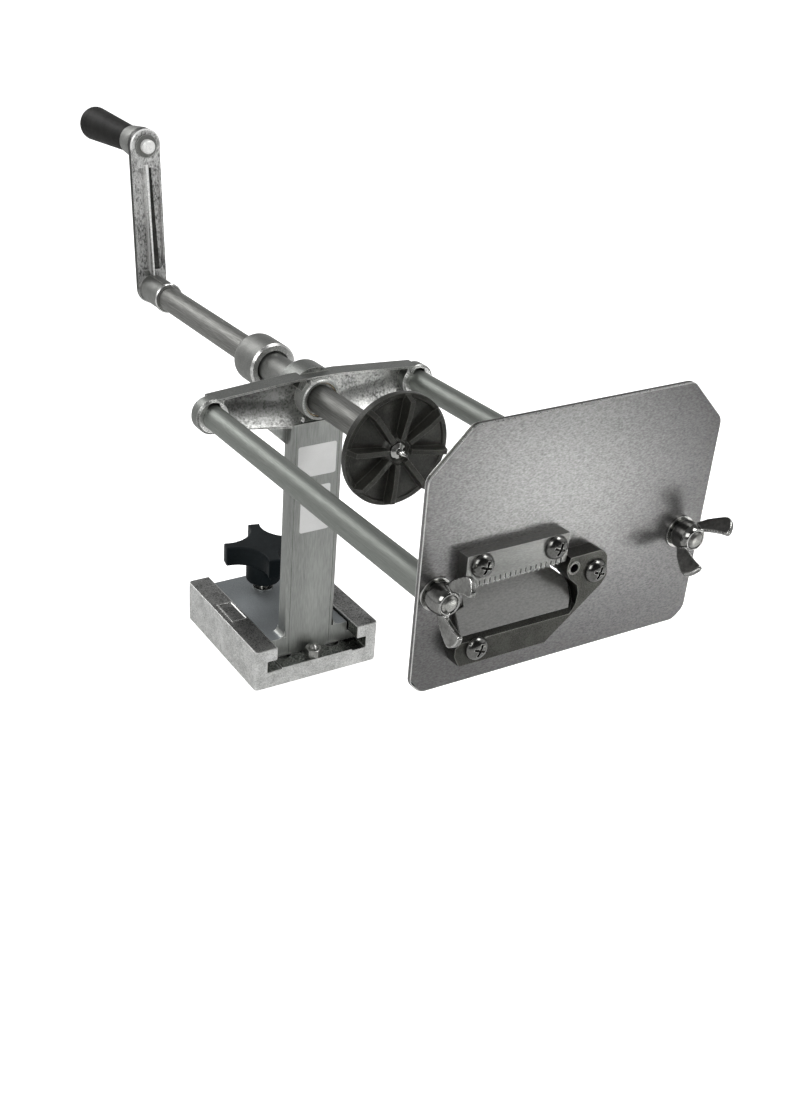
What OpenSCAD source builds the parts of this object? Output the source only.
// Hand cranked spiral cutter: a T-slot base, a cast carriage with a crossbar and hub, two rods to a
// front plate with its blade set, and a sliding, turning shaft with a push plate and a crank.
// Axes: +X right, +Y from the blade plate towards the crank, +Z up.
// Origin: the centre of the base's bottom face.

/* [Base] */
// Width of the base block
base_w = 100; // [94:1:130]
// Length of the base block
base_l = 113; // [108:1:160]
// Height of the base block
base_h = 32; // [30:1:40]
// Width of the slot between the two lips
slot_open_w = 65; // [60:1:70]
// Width of the slot under the lips
slot_wide_w = 80.5; // [78:0.5:86]
// Thickness of the metal under the slot
floor_t = 13; // [11:0.5:15]
// Thickness of the lips over the slot
lip_t = 10; // [8:0.5:11]
// Width of the raised land along the slot floor
land_w = 58; // [50:1:62]
// Height of the raised land
land_h = 1.2; // [0.6:0.2:2]
// Radius of the block's upright corners
base_corner_r = 3; // [1:0.5:6]
// Sideways pitch of the mounting holes
mount_pitch_x = 40; // [36:1:48]
// Lengthwise pitch of the mounting holes
mount_pitch_y = 80; // [70:1:84]
// Diameter of the mounting holes
mount_hole_d = 7; // [5:0.5:8]
// Diameter of the countersinks of the mounting holes
mount_sink_d = 13; // [11:0.5:14]
// Diameter of the stop stud at the open end of the slot
stop_d = 6.4; // [5:0.2:8]
// Width across the flats of the stop nut
stop_nut_af = 11; // [10:0.5:13]
// Height of the stop nut
stop_nut_h = 6; // [5:0.5:7]
// Length of the stud's domed end above the nut
stop_dome_l = 3; // [2:0.5:3.5]

/* [Carriage] */
// Running gap all round the foot in the slot
slot_gap = 0.3; // [0.2:0.05:0.5]
// Distance from the base's front end to the post's front face
front_in = 13.5; // [12.5:0.5:16]
// Length of the foot
foot_l = 92.5; // [80:0.5:95]
// How far the foot's top lies below the top of the lips
foot_drop = 2.5; // [0:0.5:4]
// Thickness of the post
post_t = 11; // [9:0.5:14]
// Width of the post
post_w = 40; // [34:1:44]
// Radius of the fillets from the foot up to the post
foot_fillet_r = 5; // [3:0.5:9]
// Radius of the rounding of the post's edges
post_edge_r = 2; // [1:0.5:3]
// Height of the shaft axis over the base's bottom
axis_z = 208; // [195:1:225]
// Distance between the axes of the two rods
rod_pitch = 154; // [140:1:170]
// Outer diameter of the round ends that hold the rods
socket_d = 23.5; // [22:0.5:28]
// Depth of the crossbar's round ends
socket_l = 14; // [12:0.5:18]
// Depth of the seat of a rod in its round end
rod_seat = 9; // [7:0.5:11]
// Thickness of the crossbar's rim
rim_t = 3.5; // [3:0.5:5]
// Thickness of the crossbar's web
web_t = 5; // [4:0.5:6]
// Height of the crossbar's top edge over the axis at the hub
crown_h = 15.5; // [13:0.5:17]
// Drop of the crossbar's bottom edge below the axis at the post
keel_h = 17.5; // [16.5:0.5:24]
// Rise of the crossbar's bottom edge from the post to two thirds of its arm
keel_rise = 4.5; // [3:0.5:6]
// Slope of the floor of the crossbar's pockets at their lower edge
pocket_slope = 35; // [25:5:50]
// Diameter of the round belly under the hub
belly_d = 45; // [42:1:46]
// Outer diameter of the hub's front ring
hub_ring_d = 28; // [27:0.5:32]
// Diameter of the hub's rear barrel
hub_barrel_d = 38; // [34:1:42]
// How far the hub's ring stands out in front of the crossbar
hub_nose = 2.5; // [1:0.5:5]
// How far the hub's barrel stands out behind the crossbar
hub_tail = 14; // [8:1:20]
// Outer diameter of the hub bushing
bush_d = 24; // [23.5:0.1:24.5]

/* [Lock] */
// Distance from the base's centre back to the lock screw's axis
lock_set = 28.5; // [25:0.5:31]
// Diameter of the lock screw
lock_d = 8; // [6:0.5:10]
// Diameter of the pressure pad under the lock screw
pad_d = 14; // [12:0.5:18]
// Thickness of the pressure pad
pad_t = 2.4; // [2:0.2:3]
// Diameter of the knob's hub
knob_hub_d = 26.5; // [24:0.5:30]
// Height of the knob's hub below its arms
knob_hub_h = 17.5; // [15:0.5:28]
// Overall diameter of the knob
knob_d = 61; // [52:1:66]
// Thickness of the knob's arms
knob_arm_t = 15; // [12:1:18]
// Turn of the knob about its screw
knob_turn = -12; // [-45:1:45]
// Thickness of the washer under the knob
knob_washer_t = 1.6; // [1:0.2:2.4]
// Diameter of the washer under the knob
knob_washer_d = 16; // [14:0.5:22]
// Free height between the washer and the knob
knob_gap = 4.8; // [1:0.2:5]

/* [Rods and plate] */
// Diameter of the rods
rod_d = 15.5; // [13:0.5:18]
// Distance from the post's front face to the back of the front plate
plate_reach = 240.5; // [220:0.5:280]
// Thickness of the front plate
plate_t = 3; // [2.5:0.5:3]
// Width of the front plate
plate_w = 179; // [174:1:200]
// Height of the front plate over the shaft axis
plate_above = 84.5; // [70:0.5:100]
// Depth of the front plate below the shaft axis
plate_below = 57; // [50:0.5:70]
// Sideways offset of the front plate
plate_shift = 3; // [0:0.5:4]
// Size of the front plate's top corner cuts
corner_cut = 23.5; // [15:0.5:30]
// Size of the front plate's bottom corner cuts
toe_cut = 6.5; // [4:0.5:12]
// Diameter of the plate studs
stud_d = 9.5; // [6:0.5:10]
// Length of a plate stud in front of the plate
stud_out = 13.5; // [12:0.5:18]
// Length of a plate stud inside its rod
stud_in = 20; // [15:1:30]
// Diameter of the washers under the wing nuts
plate_washer_d = 18; // [17:0.5:22]
// Thickness of the washers under the wing nuts
plate_washer_t = 1.6; // [1:0.2:2.4]
// Diameter of a wing nut's round body
nut_body_d = 16; // [15:0.5:18]
// Height of a wing nut's round body
nut_h = 11; // [9:0.5:11]
// Span over a wing nut's wings
nut_span = 38.6; // [32:0.2:42]
// Height of a wing nut to the tips of its wings
nut_wing_h = 24.4; // [20:0.2:26]
// Thickness of a wing
nut_wing_t = 3; // [2:0.25:4]
// Turn of the left wing nut
nut_turn_left = 12; // [-45:1:45]
// Turn of the right wing nut
nut_turn_right = 43; // [-45:1:45]
// Diameter of the screws that hold the rods in the crossbar
rod_screw_d = 6; // [5:0.5:7]
// How far a rod screw goes into its rod
rod_screw_in = 14; // [10:0.5:20]

/* [Blade set] */
// Distance from the left rod's axis to the bar's outer end
bar_clear = 12; // [12:0.5:24]
// Height of the clamp bar's top edge over the shaft axis
bar_top = 20; // [19.5:0.5:24]
// Height of the bar's lower edge over the axis at its outer end
bar_low_out = 2.2; // [1.5:0.1:3]
// Height of the bar's lower edge over the axis at its inner end
bar_low_in = 3.8; // [3.4:0.1:5]
// Thickness of the clamp bar
bar_t = 7; // [6:0.5:9]
// Distance from the shaft axis to the bar's inner end
bar_set = 4; // [4:0.5:6]
// Number of slitter blades
slitter_n = 17; // [9:2:23]
// Thickness of a slitter blade
slitter_t = 0.7; // [0.5:0.1:0.9]
// Clearance of a slitter blade in its groove
slitter_gap = 0.05; // [0.02:0.01:0.1]
// Depth of a slitter blade inside the bar
slitter_in = 3; // [2.5:0.1:3.2]
// How far a slitter blade hangs below the bar
slitter_out = 1.8; // [1.4:0.1:2]
// How far a slitter blade reaches behind the plate
slitter_reach = 3; // [2:0.5:4]
// Thickness of the blade holder
holder_t = 9; // [8.5:0.5:10]
// Reach of the holder's nose to the right of the shaft's axis
nose_in = 22.7; // [20:0.1:30]
// Height of the nose above the axis
nose_top = 6.6; // [6:0.1:10]
// Height of the nose's right corner
nose_low = -9.5; // [-12:0.1:-6]
// Distance from the left rod's axis to the holder's toe
toe_clear = 8.8; // [8.8:0.2:20]
// Depth of the holder's lower edge under the axis
toe_low = 40.5; // [38:0.5:50]
// Length of the holder's lower edge
toe_l = 56; // [50:0.5:64]
// Slope of the slicing blade from the plate
blade_slope = 29; // [28:1:31]
// Thickness of the slicing blade
blade_t = 1.5; // [1:0.1:2]
// How far the cutting edge stands behind the plate
blade_reach = 1.5; // [1:0.1:2]
// Length of the slicing blade down its slope
blade_l = 27; // [26:0.5:28]
// Clearance of the slicing blade on its bed
blade_gap = 0.1; // [0.05:0.05:0.2]
// Outer diameter of the coring tube
core_d = 7; // [6:0.25:7.5]
// Bore of the coring tube
core_bore_d = 5; // [4:0.25:5.5]
// How far the coring tube reaches behind the plate
core_reach = 7; // [4:0.5:8]
// How far the coring tube stands out in front of the holder
core_out = 0.4; // [0.2:0.2:2]
// Diameter of the blade set's screws
screw_d = 6; // [5:0.5:6]
// Head diameter of the blade set's screws
screw_head_d = 13; // [10:0.5:13]
// Head height of the blade set's screws
screw_head_h = 4; // [3:0.5:5]

/* [Shaft] */
// Diameter of the shaft
shaft_d = 19; // [18:0.5:20]
// Running clearance of the shaft in its sleeve, on the radius
shaft_gap = 0.06; // [0.03:0.01:0.1]
// Outer diameter of the guide sleeve
sleeve_d = 21.8; // [21.4:0.1:22.2]
// Running clearance of the sleeve in its bushing, on the radius
sleeve_gap = 0.06; // [0.03:0.01:0.1]
// Distance from the front face of the post to the push plate's front face
push_set = 90.5; // [70:0.5:110]
// Diameter of the push plate
push_d = 72; // [64:1:80]
// Thickness of the push plate's disc
push_t = 4; // [3:0.5:5]
// Number of fins on the push plate
fin_n = 8; // [6:1:10]
// Height of a fin
fin_h = 8; // [5:0.5:9]
// Thickness of a fin
fin_t = 3.4; // [2:0.2:4]
// How far a fin's outer end leans in from the rim
fin_draft = 2.8; // [1:0.2:4]
// Turn of the first fin
fin_turn = 37; // [0:1:60]
// Diameter of the push plate's centre screw
push_screw_d = 6; // [5:0.5:8]
// Length of the centre screw's spike
spike_l = 11; // [8:0.5:14]

/* [Collar] */
// Distance from the base's centre back to the collar's front face
collar_set = 21.5; // [15:0.5:26]
// Length of the collar's round body
collar_l = 24; // [20:0.5:28]
// Length of the collar's rounded shoulder
collar_shoulder_l = 10; // [8:0.5:12]
// Outer diameter of the collar
collar_d = 35; // [33:0.5:40]
// Diameter of the recess in the collar's front face
collar_recess_d = 25; // [23:0.5:27]
// Depth of the recess in the collar's front face
collar_recess = 5; // [3:0.5:6]
// Diameter of the collar's set screw
set_screw_d = 5; // [4:0.5:6]

/* [Crank] */
// Distance from the base's centre back to the front of the arm's hub
arm_set = 200; // [190:1:225]
// Length of the arm's hub in front of the arm
arm_hub_l = 33; // [28:1:40]
// Diameter of the arm's hub
arm_hub_d = 24; // [23:0.5:28]
// Length of the hub's polished front band
arm_band_l = 3; // [2:0.5:5]
// Crank radius from the shaft to the grip
crank_r = 113; // [95:0.5:130]
// How far the arm leans back over its length
arm_lean = 11; // [0:0.5:14]
// Width of the arm
arm_w = 25; // [24:0.5:28]
// Thickness of the arm
arm_t = 5; // [4.5:0.5:8]
// Width of the arm's raised edges
arm_edge_w = 3; // [2:0.5:4]
// Depth of the arm's two pockets
arm_pocket = 2; // [1:0.5:2.5]
// How far the rib between the pockets stands out
arm_rib_out = 1.6; // [0.4:0.2:3]
// Width of the rib between the pockets at its lower end
arm_rib_low_w = 2; // [1.5:0.5:3]
// Width of the rib between the pockets at its upper end
arm_rib_top_w = 4.5; // [3:0.5:5]
// Diameter of the arm's upper end
arm_end_d = 26; // [25:0.5:30]
// Diameter of the cross pin through the hub
cross_pin_d = 5; // [4:0.5:6]
// How far the cross pin goes past the shaft's axis
pin_in = 5.5; // [3:0.5:7]
// Diameter of the grip bolt
grip_bolt_d = 8; // [6:0.5:10]
// Head diameter of the grip bolt
grip_head_d = 11; // [10:0.5:13]
// Head height of the grip bolt
grip_head_h = 6; // [4:0.5:8]
// Diameter of the washer under the bolt's head
grip_washer_d = 18; // [16:0.5:22]
// Thickness of the washer under the bolt's head
grip_washer_t = 1.6; // [1:0.2:2.4]
// Running clearance of the grip on its bolt, on the radius
grip_gap = 0.08; // [0.04:0.01:0.1]
// Length of the grip's ferrule
ferrule_l = 21.5; // [12:0.5:24]
// Diameter of the ferrule at the arm
ferrule_d = 26; // [25:0.5:30]
// Diameter of the ferrule where it meets the grip
ferrule_end_d = 22.5; // [22:0.5:25]
// Length of the hand grip
grip_l = 88; // [80:1:110]
// Diameter of the grip at the ferrule
grip_near_d = 20.2; // [18:0.2:22]
// Diameter of the grip at its free end
grip_far_d = 27.6; // [24:0.2:32]
// Radius of the rounding at the grip's free end
grip_round_r = 6; // [4:0.5:8]

/* [Hidden] */

$fn = 64;
// Overlap that makes cuts and unions clean
eps = 0.01;
// Size of the tools that cut right through a piece
beyond = plate_reach;
// Clearance between faces that meet but belong to different pieces
seat = 0.02;

// Colours
cast_grey = "#b9b6ad";
rod_grey = "#a9aea9";
steel_grey = "#8f9092";
dark_steel = "#5d6066";
bright = "#d6d6d4";
iron_black = "#33343a";
knob_black = "#191c22";
bronze = "#a98c55";

// Base
floor_z = floor_t;
lip_z = base_h - lip_t;
land_z = floor_z + land_h;
front_set = base_l / 2 - front_in;
stop_y = -(front_set + base_l / 2) / 2 - 0.5;
sink_h = (mount_sink_d - mount_hole_d) / 2;

// Carriage
front_y = -front_set;
neck_z = base_h - foot_drop;
foot_w = slot_open_w - 6 * slot_gap;
shoe_w = slot_wide_w - 6 * slot_gap;
shoe_z = land_z + slot_gap;
shoe_top_z = lip_z - slot_gap;
socket_back_y = front_y + socket_l;
web_y = socket_back_y - web_t;
arm_in_x = hub_ring_d / 2 + 3;
hub_front_y = front_y - hub_nose;
hub_back_y = socket_back_y + hub_tail;
bush_bore_d = sleeve_d + 2 * sleeve_gap;
bush_front_y = hub_front_y + 1.5;

// Lock
pad_z = land_z + seat;
pad_pocket_h = 1.5;
lock_low_z = pad_z + pad_t + seat;
knob_low_z = neck_z + knob_washer_t + knob_gap;
knob_arm_z = knob_low_z + knob_hub_h;
knob_top_z = knob_arm_z + knob_arm_t;
knob_neck_r = knob_hub_d / 2 + 2;

// Plate
plate_back_y = front_y - plate_reach;
plate_y = plate_back_y - plate_t;
plate_mid_x = plate_shift;
stud_gap = 0.25;
nut_y = plate_y - plate_washer_t - 2 * seat;
holder_y = plate_y - seat - holder_t;

// Blade set: x and z in the plate's plane, z from the shaft axis
bar_in_x = -bar_set;
bar_l = rod_pitch / 2 - bar_set - bar_clear;
bar_out_x = -bar_set - bar_l;
bar_screw_z = 13.7;
bar_screw_x = [bar_out_x + 9, bar_in_x - 8];
slitter_margin = 6;
slitter_first_x = bar_out_x + slitter_margin + 2.5;
slitter_last_x = bar_in_x - 3.5;
window_out_x = bar_out_x + 4.5;
window_in_x = bar_in_x - 0.6;
window_top = 9.4;
toe_out = rod_pitch / 2 - toe_clear;
holder_screw_at = [[14.2, -4.6], [12.6 - toe_out, 8.9 - toe_low]];
blade_edge_y = plate_back_y + blade_reach;
blade_edge_z = 0.5;
window_low = blade_edge_z - (blade_reach + plate_t) / tan(blade_slope) - blade_t / sin(blade_slope) - 0.5;
blade_out_x = window_out_x + 0.5;
blade_foot_x = bar_out_x - 0.2;
blade_in_x = bar_in_x - 1;

// Shaft
push_y = front_y - push_set;
push_back_y = push_y + push_t;
arm_y = arm_set + arm_hub_l;
arm_back_y = arm_y + arm_t;
shaft_back_y = arm_y + 1;
sleeve_bore_d = shaft_d + 2 * shaft_gap;
sleeve_front_y = bush_front_y + 1;
collar_back_y = collar_set + collar_l + collar_shoulder_l;
sleeve_back_y = collar_set + collar_l;

// Crank
arm_angle = asin(arm_lean / crank_r);
grip_z = axis_z + crank_r * cos(arm_angle);
boss_y = arm_y + arm_lean;
boss_front_y = boss_y - 1.2;
boss_back_y = boss_y + arm_t;
ferrule_y = boss_back_y + 0.3;
grip_y = ferrule_y + ferrule_l;
grip_back_y = grip_y + grip_l;
grip_bolt_end_y = grip_y + grip_l - 14;

// Height of the clamp bar's lower edge at the place x
function bar_low(x) = bar_low_out + (bar_low_in - bar_low_out) * (x - bar_out_x) / bar_l;

// Cylinder along +Y from y0 to y1
module rod_y(d, y0, y1) {
    translate([0, y0, 0]) rotate([-90, 0, 0]) cylinder(d = d, h = y1 - y0);
}

// Extrudes an outline drawn in X and Z from y0 to y1
module slab_y(y0, y1) {
    translate([0, y1, 0]) rotate([90, 0, 0]) linear_extrude(y1 - y0) children();
}

// Turns an outline of radius and place along the axis about +Y
module turned_y() {
    rotate([-90, 0, 0]) rotate_extrude() children();
}

// Pan head screw with a cross recess, its head's seat at y = 0 facing -Y and its shank along +Y
module pan_screw(shank_d, shank_l, head_d, head_h) {
    difference() {
        turned_y() polygon([[0, -head_h], [head_d * 0.12, -head_h * 0.98], [head_d * 0.24, -head_h * 0.91],
            [head_d * 0.34, -head_h * 0.78], [head_d * 0.42, -head_h * 0.58], [head_d * 0.475, -head_h * 0.34],
            [head_d / 2, -head_h * 0.1], [head_d / 2, 0],
            [shank_d / 2, 0], [shank_d / 2, shank_l], [0, shank_l]]);
        for (turn = [0, 90]) rotate([0, turn + 20, 0])
            translate([-head_d * 0.27, -head_h - eps, -head_d * 0.055])
                cube([head_d * 0.54, head_h * 0.55, head_d * 0.11]);
    }
}

module base_block() color(cast_grey) difference() {
    base_body();
    slot_cut();
    for (x = [-1, 1], y = [-1, 1])
        translate([x * mount_pitch_x / 2, y * mount_pitch_y / 2, 0]) {
            translate([0, 0, -1]) cylinder(d = mount_hole_d, h = base_h);
            translate([0, 0, land_z - sink_h]) cylinder(d1 = mount_hole_d, d2 = mount_sink_d, h = sink_h + eps);
            translate([0, 0, land_z]) cylinder(d = mount_sink_d, h = 1);
        }
    translate([0, stop_y, floor_z - 8]) cylinder(d = stop_d, h = base_h);
}

module base_body() {
    w = base_w / 2 - base_corner_r;
    l = base_l / 2 - base_corner_r;
    linear_extrude(base_h) {
        square([base_w, 2 * l], center = true);
        square([2 * w, base_l], center = true);
        for (x = [-w, w], y = [-l, l]) translate([x, y]) circle(r = base_corner_r);
    }
}

module slot_cut() {
    slab_y(-base_l, base_l) polygon([[-slot_wide_w / 2, floor_z], [-land_w / 2, floor_z],
        [-land_w / 2, land_z], [land_w / 2, land_z], [land_w / 2, floor_z], [slot_wide_w / 2, floor_z],
        [slot_wide_w / 2, lip_z], [slot_open_w / 2, lip_z], [slot_open_w / 2, base_h + 1],
        [-slot_open_w / 2, base_h + 1], [-slot_open_w / 2, lip_z], [-slot_wide_w / 2, lip_z]]);
}

module stop_stud() color(bright) translate([0, stop_y, floor_z - 8 + seat]) rotate_extrude()
    polygon([[0, 0], [stop_d / 2 - seat, 0], [stop_d / 2 - seat, stop_top() - 1.6],
        [stop_d * 0.36, stop_top() - 0.5], [stop_d * 0.2, stop_top()], [0, stop_top()]]);

// Height of the stop stud over its lower end
function stop_top() = 8 + land_h + stop_nut_h + stop_dome_l;

module stop_nut() color(bright) translate([0, stop_y, land_z + seat]) difference() {
    intersection() {
        rotate(30) cylinder(d = stop_nut_af / cos(30), h = stop_nut_h, $fn = 6);
        cylinder(d1 = stop_nut_af + stop_nut_h * 3, d2 = stop_nut_af, h = stop_nut_h);
    }
    translate([0, 0, -1]) cylinder(d = stop_d, h = stop_nut_h + 2);
}

module frame_casting() color(cast_grey) difference() {
    union() {
        foot_and_post();
        crossbar();
        hub_solid();
    }
    translate([0, 0, axis_z]) rod_y(bush_d, hub_front_y - 1, hub_back_y + 1);
    for (side = [-1, 1]) translate([side * rod_pitch / 2, 0, axis_z]) {
        rod_y(rod_d + 2 * seat, front_y - 1, front_y + rod_seat);
        rod_y(rod_screw_d + 2 * seat, front_y, socket_back_y + 1);
    }
    translate([0, lock_set, 0]) {
        cylinder(d = lock_d + 2 * seat, h = base_h + 1);
        cylinder(d = pad_d + 2 * slot_gap, h = pad_z + pad_t + pad_pocket_h);
    }
}

module foot_and_post() {
    post_top_z = axis_z - keel_h + 2;
    gusset = 16;
    translate([0, front_y, 0]) slab_y(0, foot_l) polygon([[-shoe_w / 2, shoe_z], [shoe_w / 2, shoe_z],
        [shoe_w / 2, shoe_top_z], [foot_w / 2, shoe_top_z], [foot_w / 2, neck_z], [-foot_w / 2, neck_z],
        [-foot_w / 2, shoe_top_z], [-shoe_w / 2, shoe_top_z]]);
    translate([0, 0, neck_z - eps]) linear_extrude(post_top_z - neck_z + eps) post_section();
    for (side = [-1, 1]) scale([side, 1, 1]) {
        slab_y(front_y, front_y + post_t) difference() {
            translate([post_w / 2 - eps, neck_z - eps]) square(foot_fillet_r + eps);
            translate([post_w / 2 + foot_fillet_r, neck_z + foot_fillet_r]) circle(r = foot_fillet_r);
        }
        slab_y(web_y - 2, socket_back_y) polygon([[post_w / 2 - eps, post_top_z - gusset],
            [post_w / 2 + gusset, post_top_z - 1], [post_w / 2 + gusset, post_top_z], [post_w / 2 - eps, post_top_z]]);
    }
}

// Section of the post, rounded at its edges
module post_section() {
    r = post_edge_r;
    translate([0, front_y + post_t / 2]) {
        square([post_w - 2 * r, post_t], center = true);
        square([post_w, post_t - 2 * r], center = true);
        for (x = [-1, 1], y = [-1, 1])
            translate([x * (post_w / 2 - r), y * (post_t / 2 - r)]) circle(r = r, $fn = 32);
    }
}

// Outline of one arm of the crossbar in X and Z, its top edge lowered by the margin t
module crossbar_outline(t) {
    polygon([[-eps, -keel_h], [post_w / 2, -keel_h], [rod_pitch / 3, -keel_h + keel_rise],
        [rod_pitch / 2, -socket_d / 2 + 0.6], [rod_pitch / 2, socket_d / 2 - 0.6 - t], [arm_in_x, crown_h - t],
        [-eps, crown_h - t]]);
}

module crossbar() translate([0, 0, axis_z]) {
    difference() {
        union() {
            for (side = [-1, 1]) scale([side, 1, 1]) slab_y(front_y + 0.8, socket_back_y) crossbar_outline(0);
            slab_y(front_y + 0.6, socket_back_y) intersection() {
                circle(d = belly_d);
                translate([-post_w / 2, -belly_d / 2]) square([post_w, belly_d / 2 - keel_h / 2]);
            }
        }
        for (side = [-1, 1]) scale([side, 1, 1]) arm_recess();
        belly_recess();
    }
    for (side = [-1, 1]) {
        translate([side * rod_pitch / 2, 0, 0]) turned_y()
            polygon([[0, front_y], [socket_d / 2 - 1.4, front_y], [socket_d / 2, front_y + 1.4],
                [socket_d / 2, socket_back_y - 5], [socket_d / 2 - 1.6, socket_back_y - 1.8],
                [socket_d / 2 - 5, socket_back_y], [0, socket_back_y]]);
        rotate([0, -side * 50, 0]) translate([-3, front_y + 2.5, hub_ring_d / 2 - 2]) cube([6, web_y - front_y - 2, 6]);
    }
}

// Recess in the front of one arm, its floor rising from a sharp lower edge
module arm_recess() {
    slope_x = atan((keel_rise + 1.2) / (rod_pitch / 3 - post_w / 2 + 14));
    intersection() {
        slab_y(front_y - 1, web_y) intersection() {
            crossbar_outline(rim_t);
            translate([eps, -belly_d]) square([rod_pitch / 2 - socket_d * 0.3, 2 * belly_d]);
        }
        translate([post_w / 2, front_y, -keel_h + 0.8]) rotate([0, -slope_x, 0]) rotate([pocket_slope, 0, 0])
            translate([-post_w, -beyond / 2, 0]) cube([2 * rod_pitch, beyond, beyond]);
    }
}

// Dished recess round the hub, down to the edge of the belly
module belly_recess() intersection() {
    turned_y() polygon([[0, front_y - 1], [belly_d / 2 + 0.4, front_y - 1], [belly_d / 2 - 1, front_y + 0.6],
        [belly_d / 2 - 6, web_y], [0, web_y]]);
    translate([-belly_d, front_y - 2, -belly_d]) cube([2 * belly_d, post_t + socket_l, belly_d + crown_h - rim_t]);
}

module hub_solid() translate([0, 0, axis_z]) {
    turned_y() polygon([[0, hub_front_y], [hub_ring_d / 2 - 0.8, hub_front_y],
        [hub_ring_d / 2, hub_front_y + 0.8], [hub_ring_d / 2, web_y + eps], [0, web_y + eps]]);
    turned_y() polygon([[0, web_y], [hub_barrel_d / 2, web_y], [hub_barrel_d / 2, hub_back_y - 2],
        [hub_barrel_d / 2 - 2, hub_back_y], [0, hub_back_y]]);
}

module hub_bushing() color(bronze) translate([0, 0, axis_z]) difference() {
    rod_y(bush_d, bush_front_y, hub_back_y - 0.5);
    rod_y(bush_bore_d, hub_front_y - 1, hub_back_y + 1);
}

module lock_knob() color(knob_black) translate([0, lock_set, 0]) difference() {
    union() {
        translate([0, 0, knob_low_z]) rotate_extrude() knob_hub_profile();
        translate([0, 0, knob_arm_z]) linear_extrude(knob_arm_t) rotate(knob_turn) knob_outline();
    }
    translate([0, 0, knob_low_z - 1]) cylinder(d = lock_d + 2 * seat, h = knob_hub_h + 7);
}

// Half section of the knob's hub, rounded at its lower edge
module knob_hub_profile() {
    r = knob_hub_d / 2;
    round_r = 3;
    polygon(concat([[0, knob_hub_h + eps], [0, 0]],
        [for (turn = [0 : 15 : 90]) [r - round_r + round_r * sin(turn), round_r - round_r * cos(turn)]],
        [[r, knob_hub_h + eps]]));
}

// Outline of the knob: four arms with hollow flanks between them
module knob_outline() {
    tip_r = knob_d / 2;
    flank_r = tip_r * 0.72;
    difference() {
        intersection() {
            circle(r = tip_r);
            square(2 * tip_r - 0.6, center = true);
        }
        for (turn = [45 : 90 : 315]) rotate(turn) translate([knob_neck_r + flank_r, 0]) circle(r = flank_r);
    }
}

module lock_screw() color(bright) translate([0, lock_set, lock_low_z])
    cylinder(d = lock_d, h = knob_low_z + knob_hub_h + 5.5 - lock_low_z);

module knob_washer() color(bright) translate([0, lock_set, neck_z + seat]) difference() {
    cylinder(d = knob_washer_d, h = knob_washer_t);
    translate([0, 0, -1]) cylinder(d = lock_d + 0.4, h = knob_washer_t + 2);
}

module pressure_pad() color(bronze) translate([0, lock_set, pad_z]) cylinder(d = pad_d, h = pad_t);

module rod_piece(side) color(rod_grey) translate([side * rod_pitch / 2, 0, axis_z]) difference() {
    rod_y(rod_d, plate_back_y + seat, front_y + rod_seat - seat);
    rod_y(stud_d + 2 * seat, plate_back_y - 1, plate_back_y + stud_in + 1);
    rod_y(rod_screw_d + 2 * seat, front_y + rod_seat - rod_screw_in - 2, front_y + rod_seat + 1);
}

module rod_left() rod_piece(-1);

module rod_right() rod_piece(1);

module rod_screws() color(dark_steel) for (side = [-1, 1])
    translate([side * rod_pitch / 2, socket_back_y + seat, axis_z]) rotate([0, 0, 180]) difference() {
        union() {
            rod_y(rod_screw_d, -eps, socket_l - rod_seat + rod_screw_in);
            rod_y(rod_screw_d * 1.6, -rod_screw_d, 0);
        }
        translate([0, -rod_screw_d - 1, 0]) rotate([-90, 0, 0])
            cylinder(d = rod_screw_d * 0.9, h = rod_screw_d * 0.5 + 1, $fn = 6);
    }

module plate_studs() color(bright) for (side = [-1, 1])
    translate([side * rod_pitch / 2, 0, axis_z]) turned_y()
        polygon([[0, plate_y - stud_out], [stud_d / 2 - 0.8, plate_y - stud_out],
            [stud_d / 2, plate_y - stud_out + 0.8], [stud_d / 2, plate_back_y + stud_in], [0, plate_back_y + stud_in]]);

module front_plate() color(steel_grey) translate([0, 0, axis_z]) difference() {
    slab_y(plate_y, plate_back_y) difference() {
        plate_outline();
        for (side = [-1, 1]) translate([side * rod_pitch / 2, 0]) circle(d = stud_d + 2 * stud_gap);
        for (at = bar_screw_points()) translate(at) circle(d = screw_d + 2 * seat);
        for (at = holder_screw_at) translate(at) circle(d = screw_d + 2 * seat);
        circle(d = core_d + 2 * seat);
        window_outline();
    }
}

// Opening for the blade, wider below, where the blade spreads towards the coring tube
module window_outline() {
    polygon([[window_out_x, window_low], [2.8, window_low], [2.4, -9], [0.6, -7], [window_in_x + 1.2, -4],
        [window_in_x, -3.2], [window_in_x, window_top], [window_out_x, window_top]]);
}

function bar_screw_points() = [for (x = bar_screw_x) [x, bar_screw_z]];

module plate_outline() {
    w = plate_w / 2;
    translate([plate_mid_x, 0]) polygon([[-w + toe_cut, -plate_below], [w - toe_cut, -plate_below],
        [w, -plate_below + toe_cut], [w, plate_above - corner_cut], [w - corner_cut, plate_above],
        [-w + corner_cut, plate_above], [-w, plate_above - corner_cut], [-w, -plate_below + toe_cut]]);
}

module plate_washers() color(bright) for (side = [-1, 1]) translate([side * rod_pitch / 2, 0, axis_z])
    difference() {
        rod_y(plate_washer_d, plate_y - seat - plate_washer_t, plate_y - seat);
        rod_y(stud_d + 2 * stud_gap, plate_y - 5, plate_y + 1);
    }

module wing_nut(side, turn) color(bright)
    translate([side * rod_pitch / 2, nut_y, axis_z]) rotate([0, turn, 0]) difference() {
        union() {
            nut_body();
            for (wing = [0, 180]) rotate([0, wing, 0]) nut_wing();
        }
        rod_y(stud_d + 2 * seat, -nut_h - 1, 1);
    }

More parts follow.
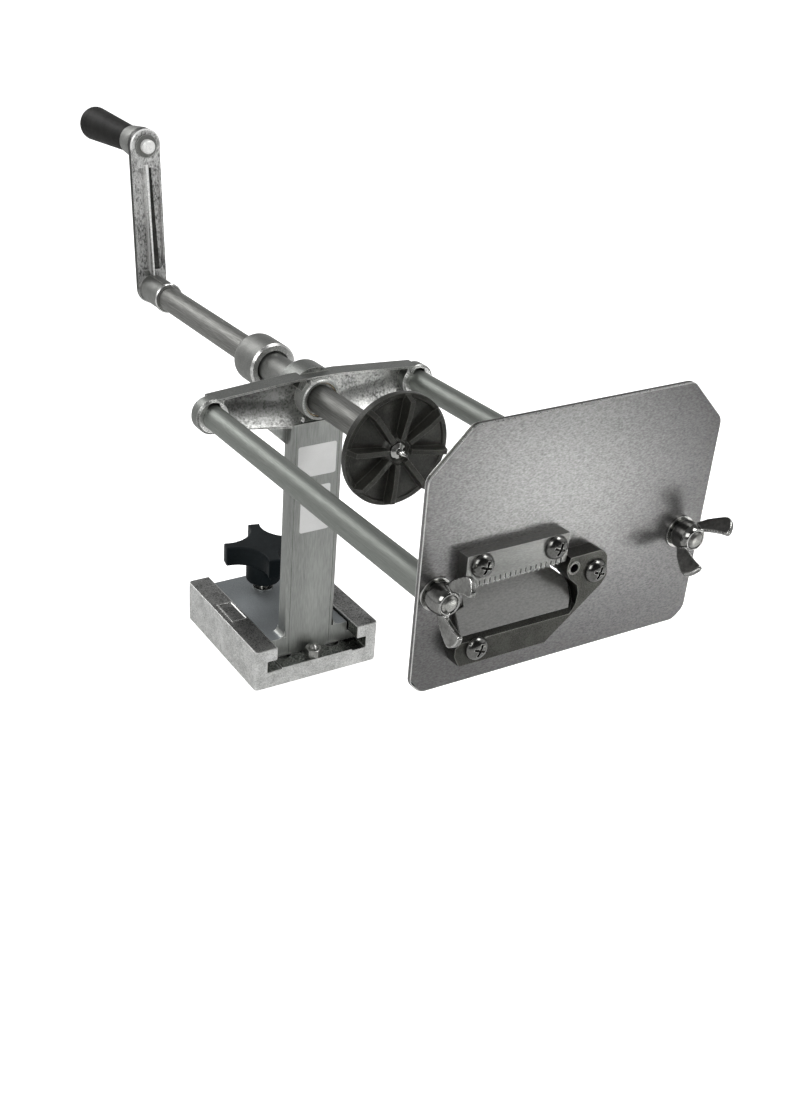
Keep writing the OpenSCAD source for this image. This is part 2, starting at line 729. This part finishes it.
// Turned body of a wing nut, widest near its foot
module nut_body() {
    r = nut_body_d / 2;
    turned_y() polygon([[0, -nut_h], [r * 0.74, -nut_h], [r * 0.78, -nut_h + 0.5], [r * 0.86, -nut_h * 0.86],
        [r * 0.94, -nut_h * 0.7], [r * 0.99, -nut_h * 0.5], [r, -nut_h * 0.3], [r * 0.98, -nut_h * 0.12],
        [r * 0.9, 0], [0, 0]]);
}

// One wing, leaning outward and forward from the nut's body
module nut_wing() {
    r = nut_body_d / 2;
    out = nut_span / 2;
    h = nut_wing_h;
    rotate([90, 0, 90]) linear_extrude(nut_wing_t, center = true)
        polygon([[-h * 0.1, r * 0.6], [-h * 0.22, r * 1.05], [-h * 0.37, out * 0.65], [-h * 0.55, out * 0.82],
            [-h * 0.68, out * 0.93], [-h * 0.74, out * 0.96], [-h * 0.81, out * 0.95], [-h * 0.89, out * 0.88],
            [-h * 0.95, out * 0.78], [-h * 0.99, out * 0.67], [-h, out * 0.6], [-h * 0.99, out * 0.55],
            [-h * 0.95, out * 0.52],
            [-h * 0.8, out * 0.485], [-h * 0.62, out * 0.41], [-h * 0.47, out * 0.34], [-h * 0.42, out * 0.31]]);
}

module wing_nut_left() wing_nut(-1, nut_turn_left);

module wing_nut_right() wing_nut(1, nut_turn_right);

module clamp_bar() color(steel_grey) translate([0, 0, axis_z]) difference() {
    slab_y(plate_y - seat - bar_t, plate_y - seat) difference() {
        polygon([[bar_out_x, bar_low(bar_out_x)], [bar_in_x, bar_low(bar_in_x)], [bar_in_x, bar_top],
            [bar_out_x, bar_top]]);
        for (at = bar_screw_points()) translate(at) circle(d = screw_d + 2 * seat);
    }
    for (x = slitter_places()) translate([x - slitter_t / 2 - slitter_gap, plate_y - bar_t - 1, bar_low(x) - 2])
        cube([slitter_t + 2 * slitter_gap, bar_t + 2, slitter_in + 2 + slitter_gap]);
}

function slitter_places() = [for (i = [0 : slitter_n - 1])
    slitter_first_x + (slitter_last_x - slitter_first_x) * i / (slitter_n - 1)];

module slitter_blades() color(bright) translate([0, 0, axis_z]) for (x = slitter_places())
    translate([x - slitter_t / 2, 0, bar_low(x)]) rotate([90, 0, 90]) linear_extrude(slitter_t)
        polygon([[plate_y - bar_t + 0.6, slitter_in], [plate_y - bar_t + 0.6, 0],
            [plate_y - bar_t + 1.4, -slitter_out], [plate_y, -slitter_out + 0.2],
            [plate_back_y + slitter_reach, slitter_in - 0.6], [plate_back_y + slitter_reach, slitter_in]]);

module blade_holder() color(dark_steel) translate([0, 0, axis_z]) difference() {
    slab_y(holder_y, plate_y - seat) difference() {
        holder_outline();
        for (at = holder_screw_at) translate(at) circle(d = screw_d + 2 * seat);
        circle(d = core_d + 2 * seat);
    }
    blade_bed();
}

// Outline of the holder: a broad toe at the lower left and a nose round the coring tube
module holder_outline() {
    polygon([[-2.6, nose_top - 0.4], [nose_in - 7.2, nose_top], [nose_in - 3.9, nose_top - 1.4],
        [nose_in - 1.7, nose_top - 4.1], [nose_in, nose_low], [nose_in - 3, nose_low - 4.5],
        [-toe_out + toe_l, -toe_low], [3.2 - toe_out, -toe_low], [-toe_out, 6.5 - toe_low],
        [-toe_out, 11 - toe_low], [2.7 - toe_out, 13.5 - toe_low], [2.7 - toe_out, -0.8], [bar_in_x - 1.2, -0.8]]);
}

// Room for the blade and for the noodles that slide off it
module blade_bed() {
    low = blade_t + blade_gap;
    intersection() {
        translate([0, blade_edge_y, blade_edge_z]) rotate([-blade_slope, 0, 0])
            translate([-beyond, low - beyond, -beyond / 2]) cube([2 * beyond, beyond, beyond]);
        slab_y(plate_y - 2 * holder_t, 0) polygon([[-2 * toe_out, 10], [-2 * toe_out, -27], [1.8, -27],
            [4.6, -22], [5.2, -16], [4, -11], [-2.2, -5.4], [bar_in_x - 0.2, -1.5], [bar_in_x - 0.2, 10]]);
    }
}

// The blade lies on the slope of its bed, its edge sharpened from below
module slicing_blade() color(bright) translate([0, blade_edge_y, axis_z + blade_edge_z])
    rotate([-blade_slope, 0, 0]) intersection() {
        slab_y(0, blade_t) polygon([[blade_out_x, 0], [blade_out_x, -13], [blade_foot_x, -14.5],
            [blade_foot_x, -blade_l], [0.6, -blade_l],
            [2.8, -blade_l + 5], [3.2, -15], [1.6, -11], [bar_in_x - 1, -5], [bar_in_x - 1, 0]]);
        slab_x() polygon([[0, -blade_l - 1], [blade_t, -blade_l - 1], [blade_t, -4], [0.2, 0], [0, 0]]);
    }

// Extrudes an outline drawn in Y and Z over the whole width
module slab_x() {
    translate([-beyond, 0, 0]) rotate([90, 0, 90]) linear_extrude(2 * beyond) children();
}

module core_tube() color(bright) translate([0, 0, axis_z]) difference() {
    turned_y() polygon([[0, holder_y - core_out], [core_d / 2, holder_y - core_out],
        [core_d / 2, plate_back_y + core_reach - 1.5], [core_bore_d / 2 + 0.2, plate_back_y + core_reach],
        [0, plate_back_y + core_reach]]);
    rod_y(core_bore_d, plate_y - 20, plate_back_y + 20);
}

module bar_screws() color(bright) for (at = bar_screw_points())
    translate([at[0], plate_y - 2 * seat - bar_t, axis_z + at[1]])
        pan_screw(screw_d, bar_t + plate_t, screw_head_d, screw_head_h);

module holder_screws() color(bright) for (at = holder_screw_at)
    translate([at[0], plate_y - 2 * seat - holder_t, axis_z + at[1]])
        pan_screw(screw_d, holder_t + plate_t, screw_head_d, screw_head_h);

module guide_sleeve() color(steel_grey) translate([0, 0, axis_z]) difference() {
    rod_y(sleeve_d, sleeve_front_y, sleeve_back_y);
    rod_y(sleeve_bore_d, sleeve_front_y - 1, sleeve_back_y + 1);
}

module stop_collar() color(steel_grey) translate([0, 0, axis_z]) difference() {
    turned_y() collar_profile();
    rod_y(collar_recess_d, collar_set - 1, collar_set + collar_recess);
    rod_y(sleeve_d + 2 * seat, collar_set - 1, sleeve_back_y + seat);
    rod_y(sleeve_bore_d + 0.2, collar_set, collar_back_y + 1);
    collar_hole(set_screw_d + 2 * seat);
}

// Half section of the collar: a chamfered mouth, a round body and a domed shoulder
module collar_profile() {
    r = collar_d / 2;
    back_r = sleeve_d / 2;
    steps = 8;
    polygon(concat([[0, collar_set], [r - 1.4, collar_set], [r, collar_set + 1.4]],
        [for (i = [0 : steps]) [back_r + (r - back_r) * cos(90 * i / steps),
            collar_set + collar_l + (collar_shoulder_l - 2) * sin(90 * i / steps)]],
        [[back_r, collar_back_y], [0, collar_back_y]]));
}

// Hole for the set screw, on the far side of the collar
module collar_hole(d) {
    translate([0, collar_set + collar_l * 0.55, 0]) rotate([0, 90, 0]) cylinder(d = d, h = collar_d);
}

module collar_screw() color(dark_steel) translate([0, 0, axis_z]) difference() {
    translate([sleeve_d / 2 + seat, collar_set + collar_l * 0.55, 0]) rotate([0, 90, 0])
        cylinder(d = set_screw_d, h = (collar_d - sleeve_d) / 2 - 1);
    translate([collar_d / 2 - 3.4, collar_set + collar_l * 0.55, 0]) rotate([0, 90, 0])
        cylinder(d = set_screw_d * 0.5, h = 5, $fn = 6);
}

module shaft() color(steel_grey) translate([0, 0, axis_z]) difference() {
    turned_y() polygon([[0, push_back_y + seat], [shaft_d / 2 - 1, push_back_y + seat],
        [shaft_d / 2, push_back_y + 1], [shaft_d / 2, shaft_back_y - 1], [shaft_d / 2 - 1, shaft_back_y],
        [0, shaft_back_y]]);
    rod_y(push_screw_d + 2 * seat, push_back_y - 1, push_back_y + 18);
    pin_hole();
}

// Place of the cross pin along the arm's hub
function pin_y() = arm_set + arm_hub_l * 0.55;

module push_plate() color(iron_black) translate([0, 0, axis_z]) difference() {
    union() {
        turned_y() polygon([[0, push_y], [push_d / 2 - 3.5, push_y], [push_d / 2 - 3, push_y - 1.2],
            [push_d / 2, push_y - 1.2], [push_d / 2, push_back_y - 0.8], [push_d / 2 - 0.8, push_back_y],
            [0, push_back_y]]);
        for (i = [0 : fin_n - 1]) rotate([0, -fin_turn - i * 360 / fin_n, 0]) push_fin();
        turned_y() polygon([[0, push_y - 2], [9, push_y - 2], [10.5, push_y + eps], [0, push_y + eps]]);
    }
    rod_y(push_screw_d + 2 * seat, push_y - fin_h - 1, push_back_y + 1);
    rod_y(push_screw_d * 2, push_y - fin_h - 1, push_y - 1);
}

// One fin, sharp along its front edge and square at the rim
module push_fin() {
    end_r = push_d / 2 - 0.6;
    tip_r = end_r - fin_draft;
    translate([0, 0, -fin_t / 2]) linear_extrude(fin_t)
        polygon([[8, push_y + eps], [8, push_y - fin_h * 0.7], [tip_r - 9, push_y - fin_h], [tip_r, push_y - fin_h],
            [end_r, push_y - 0.8], [end_r, push_y + 1.2], [push_d / 2 - 4, push_y + 1.2]]);
}

module push_plate_screw() color(bright) translate([0, 0, axis_z]) turned_y()
    polygon([[0, push_y - spike_l - 2], [push_screw_d * 0.35, push_y - 3.6], [push_screw_d * 0.85, push_y - 2.6],
        [push_screw_d * 0.85, push_y - 1 - seat], [push_screw_d / 2, push_y - 1 - seat], [push_screw_d / 2, push_back_y + 15],
        [0, push_back_y + 15]]);

module crank_arm() color(bright) translate([0, 0, axis_z]) difference() {
    union() {
        turned_y() polygon([[0, arm_set], [arm_hub_d / 2 - 0.8, arm_set], [arm_hub_d / 2, arm_set + 0.8],
            [arm_hub_d / 2, arm_set + arm_band_l], [arm_hub_d / 2 - 0.5, arm_set + arm_band_l + 0.5],
            [arm_hub_d / 2 - 0.5, arm_y - 1], [arm_hub_d / 2 - 1.2, arm_y + 1.6], [arm_hub_d / 2 - 3, arm_y + 3.6],
            [arm_hub_d / 2 - 5.6, arm_back_y], [0, arm_back_y]]);
        translate([0, arm_y, 0]) rotate([-arm_angle, 0, 0]) arm_blade();
        translate([0, 0, grip_z - axis_z]) turned_y() polygon([[0, boss_front_y], [arm_end_d / 2 - 1, boss_front_y],
            [arm_end_d / 2, boss_front_y + 1], [arm_end_d / 2, boss_back_y], [0, boss_back_y]]);
    }
    rod_y(shaft_d + 2 * seat, arm_set - 1, shaft_back_y + seat);
    translate([0, 0, grip_z - axis_z]) rod_y(grip_bolt_d + 2 * seat, boss_front_y - 1, boss_back_y + 1);
    pin_hole();
}

// The arm from the hub to its upper end, hollowed in front on both sides of a tapering rib
module arm_blade() {
    low = arm_hub_d / 2 + 1;
    top = crank_r - arm_end_d / 2 - 2;
    deep = arm_pocket + 0.5;
    difference() {
        slab_y(0, arm_t) {
            translate([-arm_w / 2, 0]) square([arm_w, crank_r]);
            circle(d = arm_w);
        }
        slab_y(-1, arm_pocket) arm_pocket_outline();
    }
    slab_y(-arm_rib_out, deep) polygon([[-arm_rib_low_w / 2, low - 2], [arm_rib_low_w / 2, low - 2],
        [arm_rib_top_w / 2, top], [-arm_rib_top_w / 2, top]]);
}

module arm_pocket_outline() {
    low = arm_hub_d / 2 + 3;
    top = crank_r - arm_end_d / 2 - 4;
    edge = arm_w / 2 - arm_edge_w;
    polygon([[2 - edge, low], [edge - 2, low], [edge, low + 4], [edge, top - 3], [edge - 3, top],
        [3 - edge, top], [-edge, top - 3], [-edge, low + 4]]);
}

// Blind hole for the pin, bored through the hub's right side into the shaft
module pin_hole() {
    translate([-pin_in, pin_y(), 0]) rotate([0, 90, 0]) cylinder(d = cross_pin_d + 2 * seat, h = arm_hub_d + pin_in);
}

module arm_pin() color(dark_steel) translate([seat - pin_in, pin_y(), axis_z]) rotate([0, 90, 0])
    cylinder(d = cross_pin_d, h = arm_hub_d / 2 + pin_in);

module grip_bolt() color(bright) translate([0, 0, grip_z]) turned_y()
    polygon([[0, grip_head_y() - grip_head_h], [grip_head_d / 2 - 1.2, grip_head_y() - grip_head_h],
        [grip_head_d / 2, grip_head_y() - grip_head_h + 1.2], [grip_head_d / 2, grip_head_y()],
        [grip_bolt_d / 2, grip_head_y()], [grip_bolt_d / 2, grip_bolt_end_y], [0, grip_bolt_end_y]]);

// Place of the seat of the grip bolt's head
function grip_head_y() = boss_front_y - grip_washer_t - 2 * seat;

module grip_washer() color(steel_grey) translate([0, 0, grip_z]) difference() {
    rod_y(grip_washer_d, grip_head_y() + seat, boss_front_y - seat);
    rod_y(grip_bolt_d + 0.4, grip_head_y() - 1, boss_y + 1);
}

module grip_ferrule() color(rod_grey) translate([0, 0, grip_z]) difference() {
    turned_y() polygon([[0, ferrule_y], [ferrule_d / 2 - 0.8, ferrule_y], [ferrule_d / 2, ferrule_y + 0.8],
        [ferrule_d / 2, ferrule_y + 4], [ferrule_end_d / 2, grip_y], [0, grip_y]]);
    rod_y(grip_bolt_d + 2 * grip_gap, ferrule_y - 1, grip_y + 1);
}

module hand_grip() color(knob_black) translate([0, 0, grip_z]) difference() {
    turned_y() grip_profile();
    rod_y(grip_bolt_d + 2 * grip_gap, grip_y - 1, grip_bolt_end_y + 2);
}

// Half section of the grip: a long taper and a rounded free end
module grip_profile() {
    far_r = grip_far_d / 2;
    steps = 8;
    polygon(concat([[0, grip_y + seat], [grip_near_d / 2, grip_y + seat]],
        [for (i = [0 : steps]) [far_r - grip_round_r + grip_round_r * cos(90 * i / steps),
            grip_back_y - grip_round_r + grip_round_r * sin(90 * i / steps)]],
        [[0, grip_back_y]]));
}

base_block();
stop_stud();
stop_nut();
frame_casting();
hub_bushing();
lock_knob();
lock_screw();
knob_washer();
pressure_pad();
rod_left();
rod_right();
rod_screws();
plate_studs();
front_plate();
plate_washers();
wing_nut_left();
wing_nut_right();
clamp_bar();
slitter_blades();
blade_holder();
slicing_blade();
core_tube();
bar_screws();
holder_screws();
guide_sleeve();
stop_collar();
collar_screw();
shaft();
push_plate();
push_plate_screw();
crank_arm();
arm_pin();
grip_bolt();
grip_washer();
grip_ferrule();
hand_grip();
